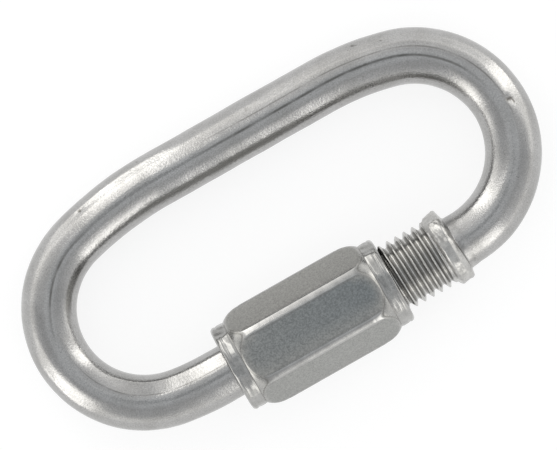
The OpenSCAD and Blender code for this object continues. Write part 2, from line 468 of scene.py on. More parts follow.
def with_collar(rod, at, x, turn, thread, section):
    """Radius of the fixed end with its collar: leaning ramp, flared facets and bevelled back."""
    major = rod.thread_diameter / 2.0
    foot = at["collar_x0"]
    back = at["collar_x1"] - BACK_INSET * MM
    spineward = np.cos(turn)
    half_width = rod.collar_width / 2.0
    flare = COLLAR_FLARE * MM * spineward * (x - back + half_width) / half_width
    top = collar_radius(turn) + np.clip(flare, FLARE_LEAST * MM, FLARE_MOST * MM)
    slant = BACK_SLANT * MM * spineward
    from_back = back - slant - x
    over = np.clip(BEVEL_UP * np.sin(turn) + BEVEL_SPINEWARD * spineward, 0.0, 1.0)
    bevel = BEVEL_WIDTH * MM + BEVEL_WIDER * MM * over - from_back
    bevel = np.clip(bevel, 0.0, BEVEL_MOST * MM)
    edge = (BACK_EDGE + BACK_EDGE_CHANGE * spineward) * MM
    short = np.clip(edge - from_back, 0.0, edge)
    rounding = edge - np.sqrt(edge * edge - short * short)
    top = top - bevel * (BEVEL_SLOPE + BEVEL_STEEPER * over) - rounding
    place = x + rod.collar_tilt * spineward
    ramp = np.clip((place - foot) / rod.collar_ramp, 0.0, 1.0)
    low = major - RAMP_FOOT * MM
    top = low + (top - low) * np.sin(ramp * math.pi / 2.0)
    top = np.minimum(top, major - NUT_ROOM * MM + np.maximum(x - foot, 0.0))
    radius = np.where(place > foot - RAMP_LEAD * MM, np.maximum(thread, top), thread)
    fall_ends = FALL_ENDS * MM + np.maximum(slant, 0.0)
    drop = smooth_step(FALL_BEGINS * MM, fall_ends, -from_back)
    outer = np.maximum(-spineward, 0.0) ** STEM_FLARE_POWER
    fading = np.exp(-np.maximum(x - back, 0.0) / (STEM_FLARE_RUN * MM))
    stem = section + STEM_FLARE * MM * outer * fading
    return radius + (stem - radius) * drop


# How the thread runs out, in millimetres: before and after the collar's foot, towards the bare rod,
# and how far below the crests it ends.
RUN_OUT_BEFORE, RUN_OUT_AFTER = 0.35, 0.2
RUN_OUT_TO_ROD = 0.6
RUN_OUT_DEPTH = 0.15


def gate_radius(rod, at, x, turn, section, fixed):
    """Radius of a threaded end at each place along the gate, and how deep it lies in a root."""
    major = rod.thread_diameter / 2.0
    high = tooth(helix(x, turn, rod.thread_start, rod.thread_pitch))
    radius = major - rod.thread_depth * (1.0 - high)
    foot, thread_end = at["collar_x0"], at["nut_thread"]
    if fixed:
        fade = smooth_step(foot - RUN_OUT_BEFORE * MM, foot + RUN_OUT_AFTER * MM, x)
        from_tip = x - at["fixed_tip"]
    else:
        fade = 1.0 - smooth_step(thread_end, thread_end + RUN_OUT_TO_ROD * MM, x)
        from_tip = at["nut_tip"] - x
    root = (1.0 - high) * (1.0 - fade)
    radius = radius * (1.0 - fade) + (major - RUN_OUT_DEPTH * MM) * fade
    radius = np.minimum(radius, major - rod.tip_chamfer + from_tip)
    if fixed:
        return with_collar(rod, at, x, turn, radius, section), root
    low = np.clip((thread_end - x) / rod.thread_taper, 0.0, 1.0)
    return np.where(x < thread_end, radius + (section - radius) * low, radius), root


# Waves that bending leaves: length of the long and the short ones in millimetres, and how high the
# short ones are beside the long ones.
LONG_WAVE, SHORT_WAVE, SHORT_HEIGHT = 5.5, 2.1, 0.4
# Ripples that drawing leaves: how many lie round the rod, and how far along it each takes to turn
# by one radian, in millimetres.
RIPPLES = ((7, 9.0), (11, -6.5), (17, 5.0))
# The first bow was drawn a little thinner than the spine and the second bow: by how much, where it
# ends and where the rod is full, from the nut's tip, in millimetres.
FULLNESS, THIN_UNTIL, FULL_FROM = 0.05, 36.0, 48.0
# Rings over which all this dies away towards the thread and the collar.
EASE_RINGS = 8.0


def away_from_gate(bare):
    """1 on the rings of the bare rod, easing to 0 where the thread and the collar begin."""
    calm = np.where(bare, 1.0, 0.0)[:, None]
    ends = np.abs(np.diff(np.concatenate([[0.0], calm[:, 0], [0.0]])))
    for k in np.nonzero(ends)[0]:
        apart = np.abs(np.arange(len(bare)) - k)
        calm = np.minimum(calm, np.clip(apart / EASE_RINGS, 0.0, 1.0)[:, None])
    return calm


def bending_marks(rod, points, turn, reach):
    """How waves and ripples change the rod's radius."""
    uneven = waves(points, LONG_WAVE * MM) + SHORT_HEIGHT * waves(points, SHORT_WAVE * MM)
    drawn = sum(np.sin(n * turn + reach / (far * MM) + n * n) for n, far in RIPPLES)
    rippled = rod.ripple * (drawn - len(RIPPLES)) / len(RIPPLES)
    return rod.waviness * (0.5 * uneven - 0.5) + rippled


# Small pits and scars on the upper side of the rod: place seen from above, then the radius and
# the depth, all in millimetres.
ROD_SCARS = (
    (-14.7, 11.1, 0.2, 0.042), (-8.1, 12.35, 0.17, 0.038), (2.6, 11.6, 0.5, 0.02),
    (13.54, 11.9, 0.16, 0.031), (13.9, 11.75, 0.1, 0.026), (15.95, 11.06, 0.11, 0.032),
    (23.33, 0.95, 0.24, 0.1), (23.05, 1.2, 0.12, 0.06), (23.6, 0.62, 0.13, 0.06),
    (23.55, 1.15, 0.1, 0.05), (-24.1, -0.1, 0.5, 0.017), (-22.5, -4.4, 0.45, 0.017),
    (-22.5, 2.4, 0.45, 0.012), (21.4, 1.3, 0.4, 0.012),
)
# Depth at which a scar is full of dirt, in millimetres.
DIRTY_DEPTH = 0.035


def scar_depth(points, rise):
    """Depth of the pits and scars at each point of the rod."""
    deep = np.zeros_like(rise)
    for x, y, size, depth in ROD_SCARS:
        gap = np.hypot(points[..., 0] - x * MM, points[..., 1] - y * MM) / (size * MM)
        deep = np.maximum(deep, np.where(rise > 0.0, depth * MM * np.exp(-gap * gap), 0.0))
    return deep


# Lumps of the pressed collar, in millimetres: height and length of the coarse and of the fine ones,
# how much lower the collar lies for them, and the height over the rod where they are full.
COARSE_LUMPS, COARSE_LENGTH = 0.028, 1.1
FINE_LUMPS, FINE_LENGTH = 0.013, 0.45
LUMP_ROOM = 0.03
LUMP_RISE = 0.6
# The lumps begin this far before the collar's foot.
LUMP_LEAD = 0.1
# Rod behind the collar that was squeezed too: how much beside the collar, and how far.
SQUEEZED, SQUEEZED_RUN = 0.45, 1.8


def collar_lumps(points):
    """Height of the lumps that pressing left on the collar."""
    coarse = COARSE_LUMPS * MM * waves(points, COARSE_LENGTH * MM)
    return coarse + FINE_LUMPS * MM * waves(points, FINE_LENGTH * MM)


def make_link_body(settings):
    """The whole rod as one skin: two threaded ends, bows, spine and collar."""
    rod = settings.rod
    at = bow_numbers(rod, LINK_BOX[1].x - LINK_BOX[0].x)
    line, way, zones = rod_line(rod, at)
    turn = np.linspace(0.0, 2.0 * math.pi, ROD_POINTS, endpoint=False)
    rod_r = rod.rod_diameter / 2.0
    lean = math.asin((GATE_Z - rod_r) / rod.axis_gap)
    section = rod_r - rod.die_flats * (1.0 - np.cos(4.0 * turn)) / 2.0
    steps = np.linalg.norm(np.diff(line, axis=0), axis=1)
    reach = np.concatenate([[0.0], np.cumsum(steps)])[:, None]
    radius = held_by_dies(section, turn, reach)
    root = np.zeros_like(radius)
    # On the gate the rod runs towards -X, so the turn about +X counts the other way.
    about_x = math.pi - turn
    fixed_zones = zones >= zones.max() - 2
    nut_zones = zones <= 1
    for picked, fixed in ((fixed_zones, True), (nut_zones, False)):
        wide, about = np.broadcast_arrays(line[picked][:, 0:1], about_x[None, :])
        radius[picked], root[picked] = gate_radius(rod, at, wide, about, section, fixed)
    side = np.stack([-way[:, 1], way[:, 0]], -1)
    outward = side[:, None, :] * np.cos(turn)[None, :, None]
    rise = np.broadcast_to(np.sin(turn)[None, :], radius.shape)

    def place(size):
        flat = line[:, None, :] + outward * size[..., None]
        up = rise * size
        y = GATE_Y + flat[..., 1] * math.cos(lean) + up * math.sin(lean)
        z = GATE_Z - flat[..., 1] * math.sin(lean) + up * math.cos(lean)
        return np.stack([flat[..., 0], y, z], -1)

    points = place(radius)
    calm = away_from_gate(~(fixed_zones | nut_zones))
    radius = radius + calm * bending_marks(rod, points, turn, reach)
    radius = radius + calm * FULLNESS * MM * smooth_step(THIN_UNTIL * MM, FULL_FROM * MM, reach)
    dented = scar_depth(points, rise)
    radius = radius - dented * calm
    stain = np.clip(dented / (DIRTY_DEPTH * MM), 0.0, 1.0)
    collar = (line[:, 0] > at["collar_x0"] - LUMP_LEAD * MM) & fixed_zones
    high = np.clip((radius - rod_r) / (LUMP_RISE * MM), 0.0, 1.0)
    lumpy = radius + (collar_lumps(points) - LUMP_ROOM * MM) * high
    radius = np.where(collar[:, None], lumpy, radius)
    # The look of the plain rod ends within a quarter of the rise to the thread and the collar.
    thread_zones = (zones == 0) | (zones == zones.max())
    raised = (thread_zones | collar)[:, None]
    plain = np.where(raised, 1.0 - np.clip(4.0 * high, 0.0, 1.0), 1.0)
    before = np.maximum(reach[collar].min() - reach, 0.0)
    squeezed = SQUEEZED * np.exp(-((before / (SQUEEZED_RUN * MM)) ** 2))
    pressed = np.where(before > 0.0, squeezed, 1.0)
    pressed = np.where(thread_zones[:, None], 0.0, pressed) * np.ones_like(radius)
    piece = skin(
        "link_body_steel",
        place(radius),
        False,
        reach[:, 0] / (2.0 * math.pi * rod_r),
        turn / (2.0 * math.pi),
        {"root": root, "stain": stain, "pressed": pressed, "plain": plain},
    )
    piece.data.materials.append(rod_steel(settings.finish))
    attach(piece, "link")
    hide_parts("link_body")


# The sleeve nut

HALF_FLAT = math.pi / 6.0
# How much closer together the points lie towards the corners, and how sharp turned edges are.
CORNER_CROWDING = 1.5
LATHE_SHARPNESS = 120.0
# Ends of the stretches with fine and middling rings, in millimetres from each end of the nut, and
# the rings in each stretch.
FINE_UNTIL, MIDDLING_UNTIL = 1.5, 3.6
NUT_RINGS = (34, 30, 16, 30, 34)
# Rings to a pitch of the thread in the bore, and the length over which it starts, in millimetres.
BORE_RINGS = 6.0
BORE_START = 0.4
# Rubbed corners: width and depth of the line along their borders in millimetres, and where the
# rubbing begins and is full beside the border, in radians.
BORDER_WIDTH, BORDER_DEPTH = 0.06, 0.018
RUBBED_BEGINS, RUBBED_FULL = -0.01, 0.02
# Tool line round each collar: place from the end and half width in millimetres.
TOOL_LINE_AT, TOOL_LINE_WIDTH = 0.56, 0.09
# Shoulder from the collar down to the neck: before and after the collar's length, in millimetres.
SHOULDER_BEFORE, SHOULDER_AFTER = 0.22, 0.02
# Slope at which the lathe's tool draws away from the hexagon past the dome.
TOOL_CLEARS = 0.5
# Crease between a dome and a flat: place below the flat, width and depth in millimetres.
CREASE_AT, CREASE_WIDTH, CREASE_DEPTH = 0.1, 0.05, 0.022
# Where a collar begins to give way to the dome, where its shape has and where its look has, as
# shares of its length.
COLLAR_KEEPS, SHAPE_GIVES_WAY, LOOK_GIVES_WAY = 0.8, 1.15, 1.4
# Dents in the collars: depth and length in millimetres.
DENT_DEPTH, DENT_LENGTH = 0.016, 1.1
# Half width of the dark line of painted shade in the neck, in millimetres, then how dark it and the
# painted shade in the creases and along the borders of the rubbed corners are.
NECK_WIDTH, NECK_DARK, CREASE_DARK = 0.07, 0.7, 0.75
# Flat face at each end: how far inside the rounded edge it begins, in millimetres.
FACE_INSET = 0.12


def hexagon_radius(turn, across, corner):
    """Radius of a hexagon with softened corners and flats above and below.

    Also gives where the corners lie, and the lines along their borders.
    """
    half, steep = across / 2.0, 1.0 / math.cos(HALF_FLAT)
    bend = (half * steep - corner / 2.0) / (steep - 1.0)
    hub = (half - bend) * steep
    off = np.abs(np.mod(turn, 2.0 * HALF_FLAT) - HALF_FLAT)
    facing = hub * np.cos(HALF_FLAT - off)
    rounded = facing + np.sqrt(np.maximum(facing**2 - hub**2 + bend**2, 0.0))
    edge = np.arctan2((half - bend) * math.tan(HALF_FLAT), half)
    border = np.exp(-(((off - edge) * half / (BORDER_WIDTH * MM)) ** 2))
    radius = np.where(off > edge, rounded, half / np.cos(off))
    return radius, smooth_step(edge + RUBBED_BEGINS, edge + RUBBED_FULL, off), border


def turned_radius(nut, from_end):
    """Radius that the lathe leaves at each distance from the nearer end of the nut."""
    collar, corner = nut.collar_diameter / 2.0, nut.corners / 2.0
    edge, shoulder_at = nut.edge_radius, nut.collar_length
    dome_axis = corner - nut.dome_radius
    neck = collar - nut.neck_depth
    dome_run = math.sqrt(nut.dome_radius**2 - (neck - dome_axis) ** 2)
    short = np.clip(edge - from_end, 0.0, edge)
    ring = collar - edge + np.sqrt(edge * edge - short * short)
    line = np.exp(-(((from_end - TOOL_LINE_AT * MM) / (TOOL_LINE_WIDTH * MM)) ** 2))
    ring = ring - nut.groove_depth * line
    falls, low = shoulder_at - SHOULDER_BEFORE * MM, shoulder_at + SHOULDER_AFTER * MM
    ring = ring + (neck - ring) * smooth_step(falls, low, from_end)
    away = np.clip(shoulder_at + dome_run - from_end, 0.0, dome_run)
    dome = dome_axis + np.sqrt(nut.dome_radius**2 - away * away)
    past = np.maximum(from_end - shoulder_at - dome_run, 0.0)
    return np.where(from_end < shoulder_at, ring, dome + TOOL_CLEARS * past)


def nut_directions():
    """Directions round the nut, closer together towards its corners."""
    half = NUT_POINTS_A_FLAT // 2
    lead = 1.0 - (1.0 - np.arange(half) / half) ** CORNER_CROWDING
    flat = np.concatenate([-np.ones(1), -lead[:0:-1], lead])
    return np.concatenate([HALF_FLAT * (2 * k + 1) + flat * HALF_FLAT for k in range(6)])


def nut_places(span):
    """Places along the outside of the nut, closer together over its collars and domes."""
    fine, middling = FINE_UNTIL * MM, MIDDLING_UNTIL * MM
    stops = (0.0, fine, middling, span - middling, span - fine, span)
    stretches = zip(stops, stops[1:], NUT_RINGS)
    places = [np.linspace(begins, ends, rings, endpoint=False) for begins, ends, rings in stretches]
    return np.append(np.concatenate(places), span)


def nut_outside(nut, x, about, from_end):
    """Radius of the nut's outside, with the forms that made it and painted shade in dark lines
    between them.
    """
    corners = nut.corners - nut.corner_wear * (np.abs(np.sin(about)) > 0.5)
    prism, ridge, border = hexagon_radius(about, nut.flats, corners)
    lathe = turned_radius(nut, from_end)
    border = border * (prism < lathe)
    crease = np.exp(-(((prism - lathe - CREASE_AT * MM) / (CREASE_WIDTH * MM)) ** 2))
    body = soft_least(prism, lathe, LATHE_SHARPNESS)
    body = body - CREASE_DEPTH * MM * crease - BORDER_DEPTH * MM * border
    keeps = nut.collar_length * COLLAR_KEEPS
    blend = smooth_step(keeps, nut.collar_length * SHAPE_GIVES_WAY, from_end)
    body = np.minimum(prism - nut.collar_flats, lathe) * (1.0 - blend) + body * blend
    raw = np.stack([x, body * np.cos(about), body * np.sin(about)], -1)
    band = 1.0 - smooth_step(keeps, nut.collar_length * LOOK_GIVES_WAY, from_end)
    body = body + band * DENT_DEPTH * MM * (waves(raw, DENT_LENGTH * MM) - 1.0)
    neck = np.exp(-(((from_end - nut.collar_length) / (NECK_WIDTH * MM)) ** 2))
    # Painted shade: dark lines in the neck, in the creases and along the borders of the rubbed
    # corners.
    lines = np.maximum(NECK_DARK * neck, CREASE_DARK * np.maximum(crease * blend, border))
    return {
        "body": body, "prism": prism, "lathe": lathe, "ridge": ridge, "band": band, "lines": lines
    }


# How deep the lathe cut where a flat has quite gone, in millimetres.
FLAT_GONE = 0.25
# How bright the domes and the collars are rubbed.
DOME_RUBBED, COLLAR_RUBBED = 0.62, 0.7
# The top flat gets painted shade: how much at its left end and how much more at its right end, how
# deep below the domes it is full, in millimetres, then the share that is lost towards the open side,
# and where it is lost, from the middle (0) to the border (1).
PAINTED_SHADE_LEFT, PAINTED_SHADE_MORE = 0.4, 0.6
PAINTED_SHADE_INSET = 0.45
PAINTED_SHADE_LOST, PAINTED_SHADE_LOST_AT = 0.75, 0.9
# Half width of the step from the top flat to its neighbours, in the sine of their direction.
TOP_STEP = 0.02
# The upper facet on the open side gets a little painted shade, so it is a little darker than the one
# on the spine's side.
OPEN_FACET_SHADE = 0.24


def nut_wear(nut, form, along, about):
    """How bright the nut is rubbed and how much painted shade lies on its flats, at each place from
    its left end.
    """
    on_flat = np.clip(1.0 - (form["prism"] - form["body"]) / (FLAT_GONE * MM), 0.0, 1.0)
    rubbed = np.maximum(DOME_RUBBED * (1.0 - on_flat), COLLAR_RUBBED * form["band"])
    worn = np.maximum(form["ridge"] * on_flat, rubbed)
    off_collar = 1.0 - form["band"]
    border_up = math.cos(HALF_FLAT)
    on_top = smooth_step(border_up - TOP_STEP, border_up + TOP_STEP, np.sin(about))
    # Painted shade on the flat that faces up, more of it towards the right end.
    dull = on_top * on_flat * off_collar * (PAINTED_SHADE_LEFT + PAINTED_SHADE_MORE * along)
    across = np.cos(about) * form["body"] / (nut.flats / 2.0 * math.tan(HALF_FLAT))
    dull = dull * smooth_step(0.0, PAINTED_SHADE_INSET * MM, form["lathe"] - form["prism"])
    dull = dull * (1.0 - PAINTED_SHADE_LOST * smooth_step(0.0, PAINTED_SHADE_LOST_AT, -across))
    # Painted shade on the upper facet of the open side.
    on_open_facet = (np.cos(about) < -math.cos(2.0 * HALF_FLAT)) & (np.sin(about) > 0.0)
    return worn, np.maximum(dull, OPEN_FACET_SHADE * on_open_facet * on_flat * off_collar)


def nut_bore(nut, rod, turn, left, right):
    """Places along the threaded bore, its radius there, and how deep it lies in a groove."""
    chamfer = nut.mouth_chamfer
    inside = run_of(right - left - chamfer, chamfer, rod.thread_pitch / BORE_RINGS)
    x, about = np.meshgrid(left + np.append(inside, chamfer), turn, indexing="ij")
    groove = 1.0 - tooth(1.0 - helix(x, about, rod.thread_start, rod.thread_pitch))
    from_mouth = np.minimum(x - left - chamfer, right - chamfer - x)
    depth = nut.bore_thread_depth * groove * smooth_step(0.0, BORE_START * MM, from_mouth)
    return x, nut.bore_diameter / 2.0 + depth, groove


def make_sleeve_nut(settings):
    """The nut as one closed skin: collars, domes, hexagon, end faces and threaded bore."""
    nut = settings.nut
    left, right = NUT_BOX[0].x, NUT_BOX[1].x
    turn = nut_directions()
    x, about = np.meshgrid(left + nut_places(right - left), turn, indexing="ij")
    form = nut_outside(nut, x, about, np.minimum(x - left, right - x))
    worn, dull = nut_wear(nut, form, (x - left) / (right - left), about)
    bore_x, bore, groove = nut_bore(nut, settings.rod, turn, left, right)
    face_r = nut.collar_diameter / 2.0 - nut.edge_radius - FACE_INSET * MM
    mouth_r = nut.bore_diameter / 2.0 + nut.mouth_chamfer
    face = np.repeat([[face_r], [mouth_r]], len(turn), axis=1)
    none, bare = np.zeros_like(face), np.zeros_like(bore)
    xs = np.concatenate([x, none + right, bore_x, none + left])
    sizes = np.concatenate([form["body"], face, bore, face[::-1]])
    worn = np.concatenate([worn, none, bare, none])
    dull = np.concatenate([dull, none, bare, none])
    # Painted shade lines of the outside, and the grooves of the bore, go into the root attribute.
    root = np.concatenate([form["lines"], none, groove, none])
    y, z = GATE_Y + sizes * np.cos(turn), GATE_Z + sizes * np.sin(turn)
    rings = np.stack([xs, y, z], -1)
    travel = np.linalg.norm(np.diff(rings[:, 0], axis=0), axis=1)
    piece = skin(
        "sleeve_nut_steel",
        rings[:, ::-1],
        True,
        np.concatenate([[0.0], np.cumsum(travel)]) / (math.pi * nut.flats),
        turn / (2.0 * math.pi),
        {"worn": worn[:, ::-1], "dull": dull[:, ::-1], "root": root[:, ::-1]},
    )
    piece.data.materials.append(nut_steel(settings.finish))
    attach(piece, "nut")
    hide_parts("sleeve_nut")


# The steel


class Nodes:
    """Short way to add and join the nodes of one material or world."""

    def __init__(self, owner):
        owner.use_nodes = True
        self.tree = owner.node_tree
        self.tree.nodes.clear()

    def link(self, value, socket):
        """Join an output to a socket, or give the socket a plain value."""
        if isinstance(value, bpy.types.NodeSocket):
            self.tree.links.new(value, socket)
        else:
            socket.default_value = value

    def add(self, kind, **settings):
        """New node, with its properties and its named sockets set."""
        node = self.tree.nodes.new(kind)
        for key, value in settings.items():
            if key in node.bl_rna.properties:
                setattr(node, key, value)
            else:
                self.link(value, node.inputs[key.replace("_", " ")])
        return node

    def noise(self, vector, scale, detail, rough):
        node = self.add("ShaderNodeTexNoise", Scale=scale, Detail=detail, Roughness=rough)
        self.link(vector, node.inputs["Vector"])
        return node.outputs["Fac"]

    def stretch(self, vector, scale):
        return self.add("ShaderNodeMapping", Vector=vector, Scale=scale).outputs["Vector"]

    def map(self, value, low, high, out_low, out_high):
        node = self.add("ShaderNodeMapRange", clamp=True, Value=value, From_Min=low, From_Max=high)
        self.link(out_low, node.inputs["To Min"])
        self.link(out_high, node.inputs["To Max"])
        return node.outputs["Result"]

    def maths(self, operation, first, second):
        node = self.add("ShaderNodeMath", operation=operation)
        self.link(first, node.inputs[0])
        self.link(second, node.inputs[1])
        return node.outputs["Value"]

    def mix(self, factor, first, second, blend="MIX"):
        """Mix of two colours. The node's other sockets are for single values and vectors."""
        node = self.add("ShaderNodeMix", data_type="RGBA", blend_type=blend)
        for place, value in ((0, factor), (6, first), (7, second)):
            self.link(value, node.inputs[place])
        return node.outputs[2]

    def value_of(self, name):
        return self.add("ShaderNodeAttribute", attribute_name=name).outputs["Fac"]


def rgba(value):
    return (value[0], value[1], value[2], 1.0)


# Dark lines that the dies left along the rod: place round it (0.25 is the top), half width and
# darkness as shares, then where each begins and ends from the nut's tip, in turns of the rod.
DIE_LINES = (
    (0.264, 0.0095, 0.7, 3.3, 5.2),
    (0.212, 0.0065, 0.5, 3.3, 5.5),
    (0.2685, 0.0095, 0.8, 1.85, 2.62),
    (0.288, 0.006, 0.5, 0.3, 1.75),
)
# How far such a line wanders to each side, as a share of a turn round the rod, and the length over
# which it comes and goes, in turns of the rod.
LINE_WANDER = 0.012
LINE_FADE = 0.3


def die_lines(nodes, flat):
    """Darkness of the broken, slightly wandering lines along the rod."""
    parts = nodes.add("ShaderNodeSeparateXYZ", Vector=flat)
    along, around = parts.outputs["X"], parts.outputs["Y"]
    total = None
    for k, (place, half, dark, begins, ends) in enumerate(DIE_LINES):
        path = nodes.add("ShaderNodeTexNoise", noise_dimensions="1D", Scale=0.8, Detail=2.0)
        nodes.link(nodes.maths("ADD", along, 7.0 * k), path.inputs["W"])
        middle = nodes.map(
            path.outputs["Fac"], 0.0, 1.0, place - LINE_WANDER, place + LINE_WANDER
        )
        aside = nodes.maths("ABSOLUTE", nodes.maths("SUBTRACT", around, middle), 0.0)
        line = nodes.map(aside, half * 0.15, half, dark, 0.0)
        gaps = nodes.add("ShaderNodeTexNoise", noise_dimensions="1D", Scale=6.0, Detail=3.0)
        nodes.link(nodes.maths("ADD", along, 31.0 + 11.0 * k), gaps.inputs["W"])
        line = nodes.maths("MULTIPLY", line, nodes.map(gaps.outputs["Fac"], 0.3, 0.55, 0.25, 1.0))
        rising = nodes.map(along, begins, begins + LINE_FADE, 0.0, 1.0)
        falling = nodes.map(along, ends - LINE_FADE, ends, 1.0, 0.0)
        line = nodes.maths("MULTIPLY", line, nodes.maths("MULTIPLY", rising, falling))
        total = line if total is None else nodes.maths("MAXIMUM", total, line)
    return total


# How fine the markings in the steel are, as features to a metre.
ROD_CLOUD, ROD_SPECKLE, ROD_GRAIN, ROD_SPECKS = 330.0, 5200.0, 8200.0, 6800.0
NUT_CLOUD, NUT_GRAIN = 420.0, 6500.0
LUMP_GRAIN = 1000.0
# Scratches along the rod: features along it and round it, to a turn.
DRAWN_SCRATCHES = (5.0, 90.0, 1.0)
# Height of the fine relief.
ROD_RELIEF = 0.018 * MM
NUT_RELIEF = 0.012 * MM


def steel_surface(nodes, painted, rough, relief, strength, height):
    """Metal in this colour and roughness, with its fine relief."""
    bump = nodes.add("ShaderNodeBump", Strength=strength, Distance=height, Height=relief)
    shader = nodes.add("ShaderNodeBsdfPrincipled", Metallic=1.0, Base_Color=painted, Roughness=rough)
    nodes.link(bump.outputs["Normal"], shader.inputs["Normal"])
    nodes.link(shader.outputs["BSDF"], nodes.add("ShaderNodeOutputMaterial").inputs["Surface"])


def rod_steel(finish):
    """Bright drawn steel with die lines, speckle, stains, painted shade on the thread's flanks and a
    rough collar.
    """
    material = bpy.data.materials.new("rod_steel")
    nodes = Nodes(material)
    coordinates = nodes.add("ShaderNodeTexCoord")
    solid, flat = coordinates.outputs["Object"], coordinates.outputs["UV"]
    cloud = nodes.noise(solid, ROD_CLOUD, 4.0, 0.6)
    speckle = nodes.noise(solid, ROD_SPECKLE, 2.0, 0.6)
    grain = nodes.noise(solid, ROD_GRAIN, 2.0, 0.6)
    drawn = nodes.noise(nodes.stretch(flat, DRAWN_SCRATCHES), 1.0, 3.0, 0.6)
    root, stain, pressed, plain = (nodes.value_of(n) for n in ("root", "stain", "pressed", "plain"))
    stained = nodes.map(cloud, 0.38, 0.68, 0.0, 1.0)
    steel = nodes.mix(stained, rgba(finish.rod_light), rgba(finish.rod_dark))
    # Painted shade: the thread's flanks, half way between crest and root, are darkened towards the
    # grime colour.
    flank = nodes.maths("ABSOLUTE", nodes.maths("SUBTRACT", root, 0.5), 0.0)
    painted_flank_shade = nodes.map(flank, 0.1, 0.4, 0.5, 0.0)
    dirt_and_shade = nodes.maths("MAXIMUM", painted_flank_shade, nodes.map(stain, 0.4, 0.95, 0.0, 0.88))
    specks = nodes.map(nodes.noise(solid, ROD_SPECKS, 1.0, 0.5), 0.7, 0.76, 0.0, 0.5)
    marks = nodes.maths("MAXIMUM", specks, die_lines(nodes, flat))
    dirt_and_shade = nodes.maths("MAXIMUM", dirt_and_shade, nodes.maths("MULTIPLY", plain, marks))
    steel = nodes.mix(plain, rgba(finish.pressed), steel)
    lumps = nodes.map(nodes.noise(solid, LUMP_GRAIN, 4.0, 0.65), 0.36, 0.6, 0.74, 1.06)
    steel = nodes.mix(nodes.map(pressed, 0.5, 1.0, 0.0, 1.0), steel, lumps, "MULTIPLY")
    steel = nodes.mix(1.0, steel, nodes.map(grain, 0.3, 0.7, 0.87, 1.13), "MULTIPLY")
    painted = nodes.mix(dirt_and_shade, steel, rgba(finish.grime_and_painted_shade))
    rough = nodes.map(cloud, 0.3, 0.7, finish.rod_roughness * 0.75, finish.rod_roughness * 1.3)
    rough = nodes.maths("ADD", rough, nodes.map(speckle, 0.35, 0.75, 0.0, 0.08))
    rough = nodes.maths("ADD", rough, nodes.map(pressed, 0.0, 1.0, 0.0, 0.12))
    scratches = nodes.maths("MULTIPLY", drawn, 0.35)
    relief = nodes.maths("ADD", nodes.maths("MULTIPLY", speckle, 0.65), scratches)
    steel_surface(nodes, painted, rough, relief, 1.0, ROD_RELIEF)
    return material


def nut_steel(finish):
    """Matt tumbled steel, rubbed bright along the ridges, domes and collars."""
    material = bpy.data.materials.new("nut_steel")
    nodes = Nodes(material)
    solid = nodes.add("ShaderNodeTexCoord").outputs["Object"]
    cloud = nodes.noise(solid, NUT_CLOUD, 3.0, 0.55)
    grain = nodes.noise(solid, NUT_GRAIN, 3.0, 0.65)
    worn, dull, root = (nodes.value_of(n) for n in ("worn", "dull", "root"))
    rubbed = nodes.maths("MULTIPLY", worn, nodes.map(cloud, 0.3, 0.5, 0.85, 1.0))
    raised = nodes.map(grain, 0.34, 0.66, 0.0, 1.0)
    matt = nodes.mix(raised, rgba(finish.nut_pits), rgba(finish.nut_dark))
    # Painted shade: darkens the top flat and the open side's upper facet with a blue-grey tint.
    matt = nodes.mix(dull, matt, rgba(finish.nut_painted_shade), "MULTIPLY")
    steel = nodes.mix(rubbed, matt, rgba(finish.nut_light))
    lumps = nodes.map(nodes.noise(solid, LUMP_GRAIN, 4.0, 0.65), 0.36, 0.6, 0.84, 1.06)
    steel = nodes.mix(nodes.map(worn, 0.45, 0.7, 0.0, 1.0), steel, lumps, "MULTIPLY")
    # Darkens the bore's grooves and paints shade in the neck, the creases and along the corner
    # borders.
    painted = nodes.mix(nodes.map(root, 0.3, 1.0, 0.0, 0.8), steel, rgba(finish.grime_and_painted_shade))
    base = nodes.map(cloud, 0.3, 0.7, finish.nut_roughness * 0.92, finish.nut_roughness * 1.1)
    smoothed = nodes.maths("MULTIPLY", rubbed, finish.nut_roughness * 0.62)
    rough = nodes.maths("SUBTRACT", base, smoothed)
    rough = nodes.maths("ADD", rough, nodes.map(grain, 0.3, 0.7, -0.03, 0.05))
    relief = nodes.maths("MULTIPLY", grain, nodes.map(rubbed, 0.0, 1.0, 1.0, 0.3))
    steel_surface(nodes, painted, rough, relief, 0.8, NUT_RELIEF)
    return material


# Floor, light and camera


def seen_directly(nodes):
    """1 where the background itself is seen: by the camera, in a gloss or through glass."""
    path = nodes.add("ShaderNodeLightPath")
    seen = nodes.maths("MAXIMUM", path.outputs["Is Camera Ray"], path.outputs["Is Glossy Ray"])
    return nodes.maths("MAXIMUM", seen, path.outputs["Is Transmission Ray"])


# Where the paper is seen directly: its own glow, and how much light it takes on top of that.
FLOOR_GLOW = 0.8
FLOOR_SHADE = (0.26, 0.26, 0.26)
WHITE = (1.0, 1.0, 1.0)


def floor_paper(stage):
    """White paper that glows just enough to read as white, and still takes the link's shadow."""
    material = bpy.data.materials.new("floor_paper")
    nodes = Nodes(material)
    paper = nodes.add("ShaderNodeBsdfDiffuse", Color=rgba(stage.floor_colour))
    shaded = nodes.add("ShaderNodeBsdfDiffuse", Color=rgba(FLOOR_SHADE))
    glow = nodes.add("ShaderNodeEmission", Color=rgba(WHITE), Strength=FLOOR_GLOW)
    white = nodes.add("ShaderNodeAddShader")
    nodes.link(shaded.outputs["BSDF"], white.inputs[0])
    nodes.link(glow.outputs["Emission"], white.inputs[1])
    mixed = nodes.add("ShaderNodeMixShader")
    nodes.link(seen_directly(nodes), mixed.inputs[0])
    nodes.link(paper.outputs["BSDF"], mixed.inputs[1])
    nodes.link(white.outputs["Shader"], mixed.inputs[2])
    nodes.link(mixed.outputs["Shader"], nodes.add("ShaderNodeOutputMaterial").inputs["Surface"])
    return material


